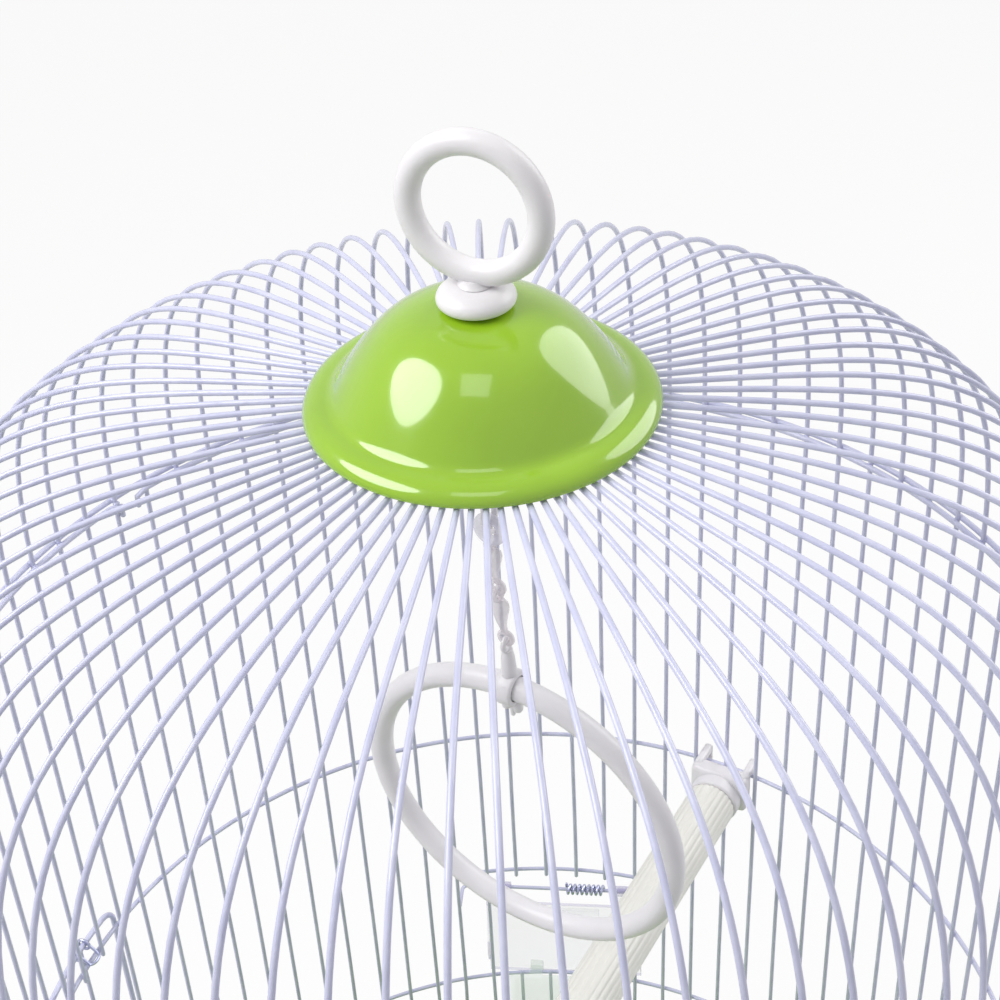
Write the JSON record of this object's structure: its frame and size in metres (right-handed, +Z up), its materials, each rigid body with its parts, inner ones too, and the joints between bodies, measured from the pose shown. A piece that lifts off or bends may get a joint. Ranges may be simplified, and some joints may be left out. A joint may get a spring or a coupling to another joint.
{
  "type": "bird cage",
  "caption": "Round wire bird cage with a domed top, hanging ring, ring swing, perch, wire door, sprung flaps over feeder cups, and a clipped-on base tray.",
  "frame": {"origin": "middle of the base tray's flat underside", "axes": "+Z up through the hang ring; -Y out through the main door; +X and -X out through the feeder openings"},
  "size_m": [0.364, 0.356, 0.6246],
  "materials": {
    "wire_enamel": "glossy lavender enamel",
    "green_plastic": "polished lime green",
    "white_plastic": "moulded white",
    "cream_plastic": "extruded, lengthwise flutes",
    "milky_plastic": "translucent milky white",
    "pale_green_plastic": "translucent pale green",
    "zinc_steel": "zinc plated"
  },
  "bodies": {
    "cage": {"base_tray": "green_plastic", "wall_panel_1": "wire_enamel", "wall_panel_2": "wire_enamel", "wall_panel_3": "wire_enamel", "wall_panel_4": "wire_enamel", "wall_panel_5": "wire_enamel", "wall_panel_6": "wire_enamel", "wall_panel_7": "wire_enamel", "wall_panel_8": "wire_enamel", "door_header": "wire_enamel", "door_threshold": "wire_enamel", "feeder_header_right": "wire_enamel", "feeder_header_left": "wire_enamel", "feeder_threshold_right": "wire_enamel", "feeder_threshold_left": "wire_enamel", "dome_panel_1": "wire_enamel", "dome_panel_2": "wire_enamel", "dome_panel_3": "wire_enamel", "dome_panel_4": "wire_enamel", "dome_panel_5": "wire_enamel", "dome_panel_6": "wire_enamel", "dome_panel_7": "wire_enamel", "dome_panel_8": "wire_enamel", "hub_ring": "wire_enamel", "lower_ring": "wire_enamel", "sill_ring": "wire_enamel", "cap": "green_plastic", "hub_plate": "white_plastic", "hub_nut": "zinc_steel", "hanger_bolt": "zinc_steel", "perch": "cream_plastic", "perch_end_back": "white_plastic", "perch_end_front": "white_plastic", "feeder_rod_right": "wire_enamel", "feeder_spring_right": "zinc_steel", "feeder_rod_left": "wire_enamel", "feeder_spring_left": "zinc_steel"},
    "top_swivel": {"collar": "white_plastic", "hang_ring": "white_plastic"},
    "swing_upper": {"upper_link": "white_plastic", "eye_ring": "milky_plastic"},
    "swing_middle": {"middle_link": "white_plastic"},
    "swing_lower": {"lower_link": "white_plastic"},
    "swing": {"swing_clip": "white_plastic", "swing_ring": "white_plastic"},
    "main_door": {"main_door": "wire_enamel"},
    "door_latch": {"door_latch": "zinc_steel"},
    "flap_right": {"feeder_flap_right": "milky_plastic"},
    "flap_left": {"feeder_flap_left": "milky_plastic"},
    "cup_right": {"feeder_cup_right": "pale_green_plastic"},
    "cup_left": {"feeder_cup_left": "pale_green_plastic"},
    "clip_1": {"base_clip_1": "white_plastic"},
    "clip_2": {"base_clip_2": "white_plastic"},
    "clip_3": {"base_clip_3": "white_plastic"},
    "clip_4": {"base_clip_4": "white_plastic"}
  },
  "joints": [
    {"name": "collar_swivel", "type": "hinge", "parent": "cage", "child": "top_swivel", "pos_m": [0, 0, 0.579], "axis": [0, 0, 1], "continuous": true},
    {"name": "swing_top_hinge", "type": "hinge", "parent": "cage", "child": "swing_upper", "pos_m": [0, 0, 0.5322], "axis": [0.4384, 0.8988, 0], "range_deg": [-25, 25]},
    {"name": "swing_middle_hinge", "type": "hinge", "parent": "swing_upper", "child": "swing_middle", "pos_m": [0, 0, 0.50435], "axis": [-0.8988, 0.4384, 0], "range_deg": [-25, 25]},
    {"name": "swing_lower_hinge", "type": "hinge", "parent": "swing_middle", "child": "swing_lower", "pos_m": [0.00064, 0.00131, 0.4835], "axis": [0.4373, 0.8966, 0.0698], "range_deg": [-25, 25]},
    {"name": "swing_clip_hinge", "type": "hinge", "parent": "swing_lower", "child": "swing", "pos_m": [0.00033, 0.00278, 0.46657], "axis": [-0.8991, 0.4343, 0.0539], "range_deg": [-25, 25]},
    {"name": "main_door_hinge", "type": "hinge", "parent": "cage", "child": "main_door", "pos_m": [0.05884, -0.15949, 0.1885], "axis": [0, 0, 1], "range_deg": [0, 90]},
    {"name": "door_latch_hinge", "type": "hinge", "parent": "main_door", "child": "door_latch", "pos_m": [-0.04074, -0.16968, 0.271], "axis": [0.9724, -0.2334, 0], "range_deg": [0, 80]},
    {"name": "flap_right_hinge", "type": "hinge", "parent": "cage", "child": "flap_right", "pos_m": [0.177, 0, 0.1625], "axis": [0, -1, 0], "range_deg": [0, 95], "stiffness_Nm_per_rad": 0.02, "springref_deg": -28.65},
    {"name": "cup_right_lift", "type": "slide", "parent": "cage", "child": "cup_right", "axis": [0, 0, 1], "range_m": [0, 0.04]},
    {"name": "flap_left_hinge", "type": "hinge", "parent": "cage", "child": "flap_left", "pos_m": [-0.177, 0, 0.1625], "axis": [0, 1, 0], "range_deg": [0, 95], "stiffness_Nm_per_rad": 0.02, "springref_deg": -28.65},
    {"name": "cup_left_lift", "type": "slide", "parent": "cage", "child": "cup_left", "axis": [0, 0, 1], "range_m": [0, 0.04]},
    {"name": "clip_1_hinge", "type": "hinge", "parent": "cage", "child": "clip_1", "pos_m": [0.12784, 0.12784, 0.05], "axis": [-0.7071, 0.7071, 0], "range_deg": [0, 70]},
    {"name": "clip_2_hinge", "type": "hinge", "parent": "cage", "child": "clip_2", "pos_m": [-0.12784, 0.12784, 0.05], "axis": [-0.7071, -0.7071, 0], "range_deg": [0, 70]},
    {"name": "clip_3_hinge", "type": "hinge", "parent": "cage", "child": "clip_3", "pos_m": [-0.12784, -0.12784, 0.05], "axis": [0.7071, -0.7071, 0], "range_deg": [0, 70]},
    {"name": "clip_4_hinge", "type": "hinge", "parent": "cage", "child": "clip_4", "pos_m": [0.12784, -0.12784, 0.05], "axis": [0.7071, 0.7071, 0], "range_deg": [0, 70]}
  ]
}
